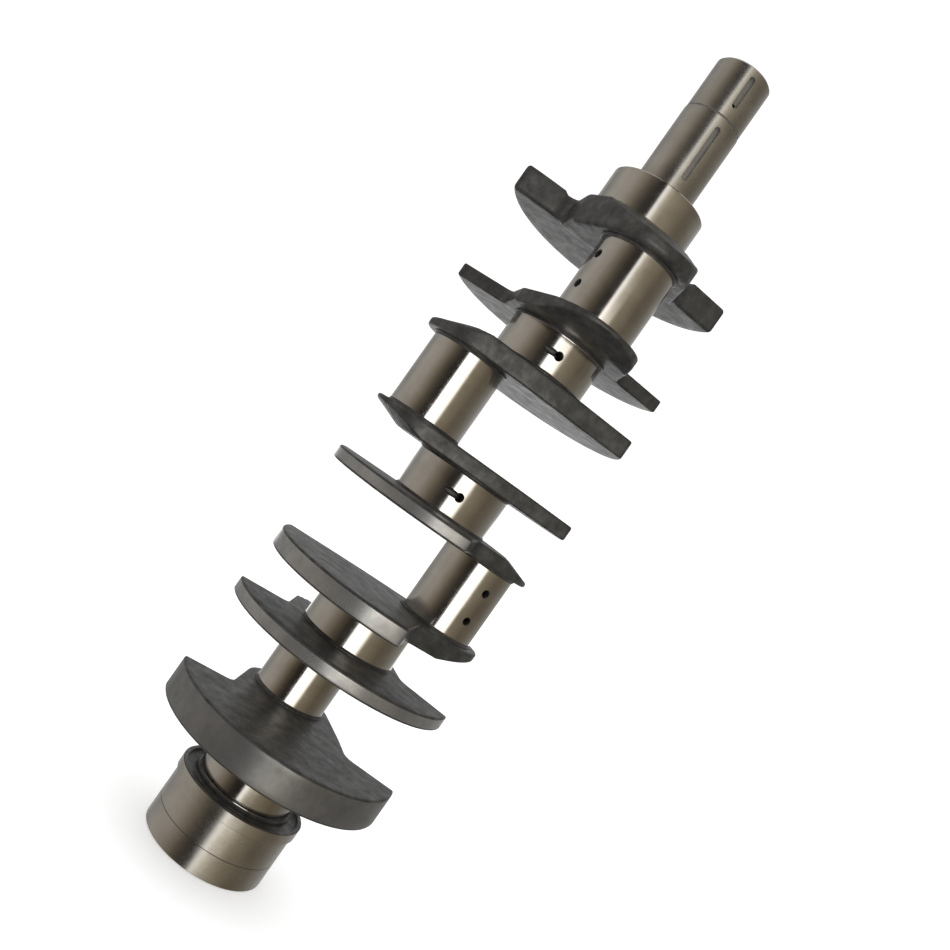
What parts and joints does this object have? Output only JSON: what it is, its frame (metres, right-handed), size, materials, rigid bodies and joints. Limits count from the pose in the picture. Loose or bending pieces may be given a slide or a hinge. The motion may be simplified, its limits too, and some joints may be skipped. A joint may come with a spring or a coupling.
{
  "type": "engine crankshaft",
  "caption": "Bare cross-plane crankshaft: ground main journals and offset crankpins joined by flat webs with counterweights, a rear flywheel flange and a keyed snout.",
  "frame": {"origin": "centre of the flywheel face of the rear flange, on the shaft's axis; the crankshaft stands on that face", "axes": "+Z runs along the shaft from the flywheel face to the snout; -Y points to crankpin 1 and to both keyways, -X to crankpin 2, +X to crankpin 3 and +Y to crankpin 4"},
  "size_m": [0.1836, 0.1838, 0.6875],
  "materials": {
    "ground_journal": "ground and polished steel, mirror-like along the shaft with fine circumferential grinding marks",
    "ground_snout": "finely turned and ground steel, slightly duller than the journals",
    "forged_web": "dark grey as-forged skin with a soft satin sheen and faint mottling",
    "turned_rim": "dark grey sides with a mid-grey turned rim and faint turning lines",
    "bush_bronze": "oil-soaked sintered bronze"
  },
  "bodies": {
    "root": {"rear_flange": "ground_journal", "pilot_bush": "bush_bronze", "main_journal_5": "ground_journal", "main_journal_4": "ground_journal", "main_journal_3": "ground_journal", "main_journal_2": "ground_journal", "main_journal_1": "ground_journal", "crankpin_4": "ground_journal", "crankpin_3": "ground_journal", "crankpin_2": "ground_journal", "crankpin_1": "ground_journal", "web_8": "forged_web", "counterweight_8": "turned_rim", "web_7": "forged_web", "counterweight_7": "turned_rim", "web_6": "forged_web", "counterweight_6": "turned_rim", "web_5": "forged_web", "counterweight_5": "turned_rim", "web_4": "forged_web", "counterweight_4": "turned_rim", "web_3": "forged_web", "counterweight_3": "turned_rim", "web_2": "forged_web", "counterweight_2": "turned_rim", "web_1": "forged_web", "counterweight_1": "turned_rim", "gear_seat": "ground_snout", "snout_nose": "ground_snout"}
  },
  "joints": []
}
